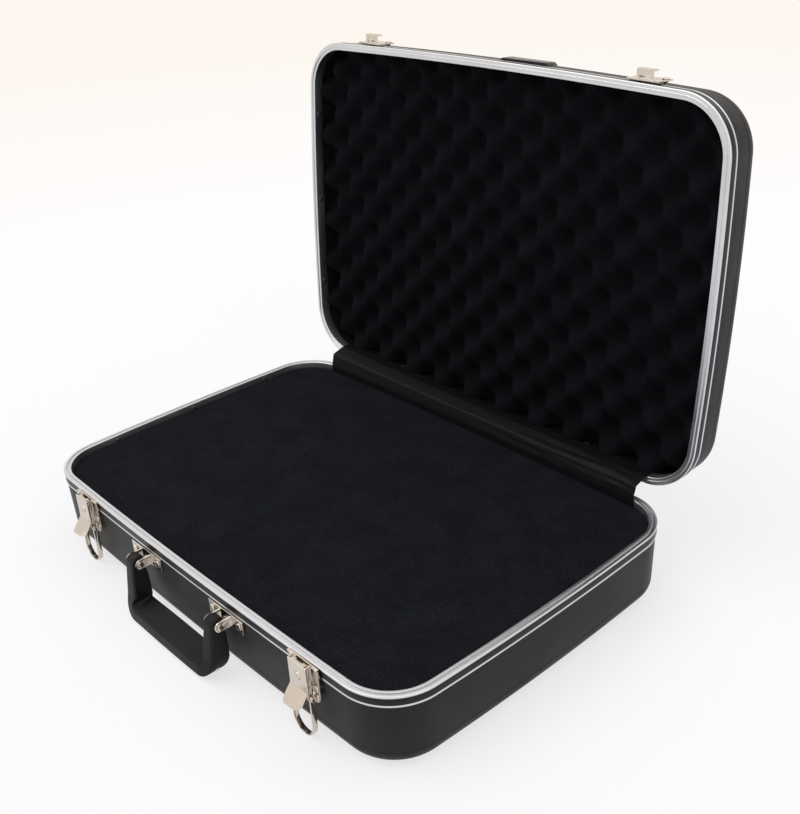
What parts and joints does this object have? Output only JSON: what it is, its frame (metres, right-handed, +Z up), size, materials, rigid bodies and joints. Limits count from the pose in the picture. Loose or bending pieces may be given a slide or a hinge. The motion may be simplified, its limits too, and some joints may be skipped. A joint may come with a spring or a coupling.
{
  "type": "laptop hard case",
  "caption": "Hard-shell briefcase with a foam tray, an egg-crate foam lid on a rear hinge, draw latches and a drop handle.",
  "frame": {"origin": "centre of the flat underside of the base, on the surface it lies on", "axes": "+X along the long side, to the right seen from the latches; +Y from the latches to the hinge; +Z up"},
  "size_m": [0.457, 0.3979, 0.3803],
  "materials": {
    "shell_plastic": "fine leather grain",
    "rim_metal": "satin, drawn",
    "vinyl": "smooth",
    "foam": "open cell",
    "nickel": "bright nickel plate",
    "steel": "zinc plated",
    "grip_rubber": "moulded grain",
    "flap_cloth": "coated cloth",
    "plate_black": "blank"
  },
  "bodies": {
    "base": {"base_shell": "shell_plastic", "base_rim": "rim_metal", "base_rim_rivets": "steel", "base_vinyl_band": "vinyl", "base_foam": "foam", "hinge_base_leaf_left": "steel", "hinge_base_leaf_right": "steel", "hinge_pin_left": "steel", "hinge_pin_right": "steel", "hinge_base_rivets": "steel", "hinge_flap": "flap_cloth", "latch_plate_left": "nickel", "latch_plate_right": "nickel", "latch_rivets": "steel", "lever_pivot_pin_left": "steel", "lever_pivot_pin_right": "steel", "handle_bracket_left": "nickel", "handle_bracket_right": "nickel", "handle_bracket_rivets": "nickel", "handle_pin_left": "steel", "handle_pin_right": "steel"},
    "lid": {"lid_shell": "shell_plastic", "lid_rim": "rim_metal", "lid_rim_rivets": "steel", "lid_vinyl_band": "vinyl", "lid_foam": "foam", "hinge_lid_leaf_left": "steel", "hinge_lid_leaf_right": "steel", "hinge_lid_rivets": "steel", "catch_left": "nickel", "catch_right": "nickel", "catch_rivets": "nickel", "name_plate": "plate_black", "name_plate_rivets": "steel"},
    "handle": {"handle_core": "steel", "handle_grip": "grip_rubber"},
    "lever_left": {"latch_lever_left": "nickel", "lock_body_left": "nickel", "bail_pin_left": "steel"},
    "bail_left": {"latch_bail_left": "nickel"},
    "lock_plug_left": {"lock_plug_left": "steel"},
    "lever_right": {"latch_lever_right": "nickel", "lock_body_right": "nickel", "bail_pin_right": "steel"},
    "bail_right": {"latch_bail_right": "nickel"},
    "lock_plug_right": {"lock_plug_right": "steel"}
  },
  "joints": [
    {"name": "lid_hinge", "type": "hinge", "parent": "base", "child": "lid", "pos_m": [0, 0.1589, 0.06215], "axis": [1, 0, 0], "range_deg": [0, 94], "deforming": ["hinge_flap"]},
    {"name": "handle_swing", "type": "hinge", "parent": "base", "child": "handle", "pos_m": [0, -0.16371, 0.0465], "axis": [-1, 0, 0], "range_deg": [0, 120]},
    {"name": "lever_swing_left", "type": "hinge", "parent": "base", "child": "lever_left", "pos_m": [-0.146, -0.1568, 0.0601], "axis": [-1, 0, 0], "range_deg": [0, 95]},
    {"name": "bail_swing_left", "type": "hinge", "parent": "lever_left", "child": "bail_left", "pos_m": [-0.146, -0.157, 0.0364], "axis": [1, 0, 0], "range_deg": [-175, 0]},
    {"name": "lock_turn_left", "type": "hinge", "parent": "lever_left", "child": "lock_plug_left", "pos_m": [-0.146, -0.1591, 0.0515], "axis": [0, 1, 0], "range_deg": [0, 90]},
    {"name": "lever_swing_right", "type": "hinge", "parent": "base", "child": "lever_right", "pos_m": [0.146, -0.1568, 0.0601], "axis": [-1, 0, 0], "range_deg": [0, 95]},
    {"name": "bail_swing_right", "type": "hinge", "parent": "lever_right", "child": "bail_right", "pos_m": [0.146, -0.157, 0.0364], "axis": [1, 0, 0], "range_deg": [-175, 0]},
    {"name": "lock_turn_right", "type": "hinge", "parent": "lever_right", "child": "lock_plug_right", "pos_m": [0.146, -0.1591, 0.0515], "axis": [0, 1, 0], "range_deg": [0, 90]}
  ]
}
